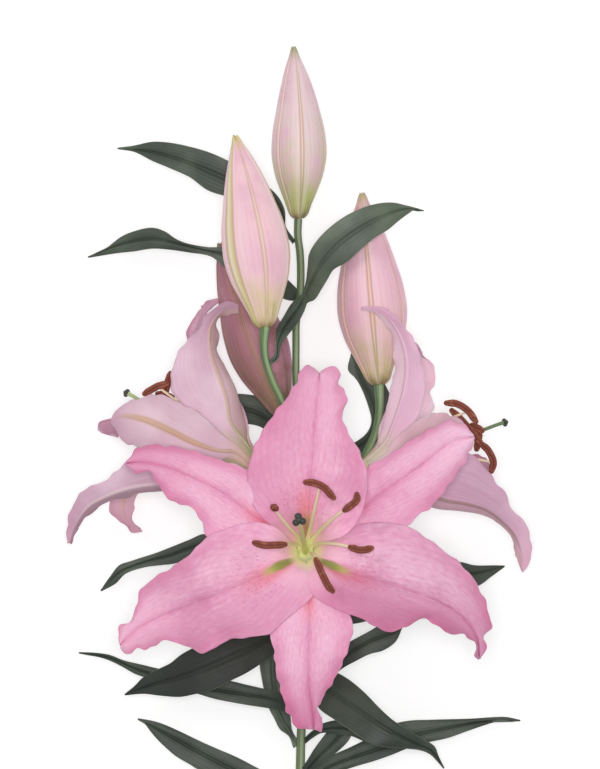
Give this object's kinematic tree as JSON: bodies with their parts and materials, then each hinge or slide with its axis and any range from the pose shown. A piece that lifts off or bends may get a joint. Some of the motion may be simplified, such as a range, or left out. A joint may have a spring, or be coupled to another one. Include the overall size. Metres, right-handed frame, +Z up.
{
  "type": "cut lily stem",
  "caption": "Cut stem of a pink lily with open flowers, pointed closed buds and narrow dark leaves, lying on its back with the middle flower facing up.",
  "frame": {"origin": "centre of the bounding box in plan, on the surface that the stem lies on", "axes": "+Y along the stem from its cut end to the top bud, +Z up, the way the middle flower faces, +X to the right as seen from above"},
  "size_m": [0.2528, 0.4676, 0.1327],
  "materials": {
    "stem": "smooth fresh green stem with fine lengthwise stripes, satin",
    "leaf": "dark grey-green waxy leaf with parallel veins, satin",
    "petal_face": "soft matte pink petal, deeper rose along the midrib and edges, fine veins and freckles",
    "petal_back": "pale lilac-pink petal back with a green-yellow midrib, soft matte",
    "bud": "pale lilac-pink bud with green-yellow ribs and base, soft satin",
    "stamen": "powdery rust-brown anthers on pale green filaments, matte",
    "pistil": "smooth pale green style with a dark green-black stigma"
  },
  "bodies": {
    "root": {"stem": "stem", "main_flower_stalk": "stem", "left_flower_stalk": "stem", "right_flower_stalk": "stem", "left_bud_stalk": "stem", "back_bud_stalk": "stem", "right_bud_stalk": "stem", "main_petal_top": "petal_face", "main_petal_right": "petal_face", "main_petal_left": "petal_face", "main_sepal_bottom": "petal_face", "main_sepal_right": "petal_face", "main_sepal_left": "petal_face", "left_petal_upper": "petal_back", "left_petal_lower": "petal_back", "left_petal_back": "petal_back", "left_sepal_front": "petal_back", "left_sepal_low_back": "petal_back", "left_sepal_high_back": "petal_back", "right_petal_upper": "petal_back", "right_petal_lower": "petal_back", "right_petal_back": "petal_back", "right_sepal_front": "petal_back", "right_sepal_high_back": "petal_back", "right_sepal_low_back": "petal_back", "top_bud": "bud", "left_bud": "bud", "back_bud": "bud", "right_bud": "bud", "main_stamen_1": "stamen", "main_stamen_2": "stamen", "main_stamen_3": "stamen", "main_stamen_4": "stamen", "main_stamen_5": "stamen", "main_stamen_6": "stamen", "left_stamens": "stamen", "right_stamens": "stamen", "main_pistil": "pistil", "left_pistil": "pistil", "right_pistil": "pistil", "leaf_1": "leaf", "leaf_2": "leaf", "leaf_3": "leaf", "leaf_4": "leaf", "leaf_5": "leaf", "leaf_6": "leaf", "leaf_7": "leaf", "leaf_8": "leaf", "leaf_9": "leaf", "leaf_10": "leaf", "leaf_11": "leaf", "leaf_12": "leaf", "leaf_13": "leaf", "leaf_14": "leaf", "leaf_15": "leaf", "leaf_16": "leaf", "leaf_17": "leaf"}
  },
  "joints": []
}
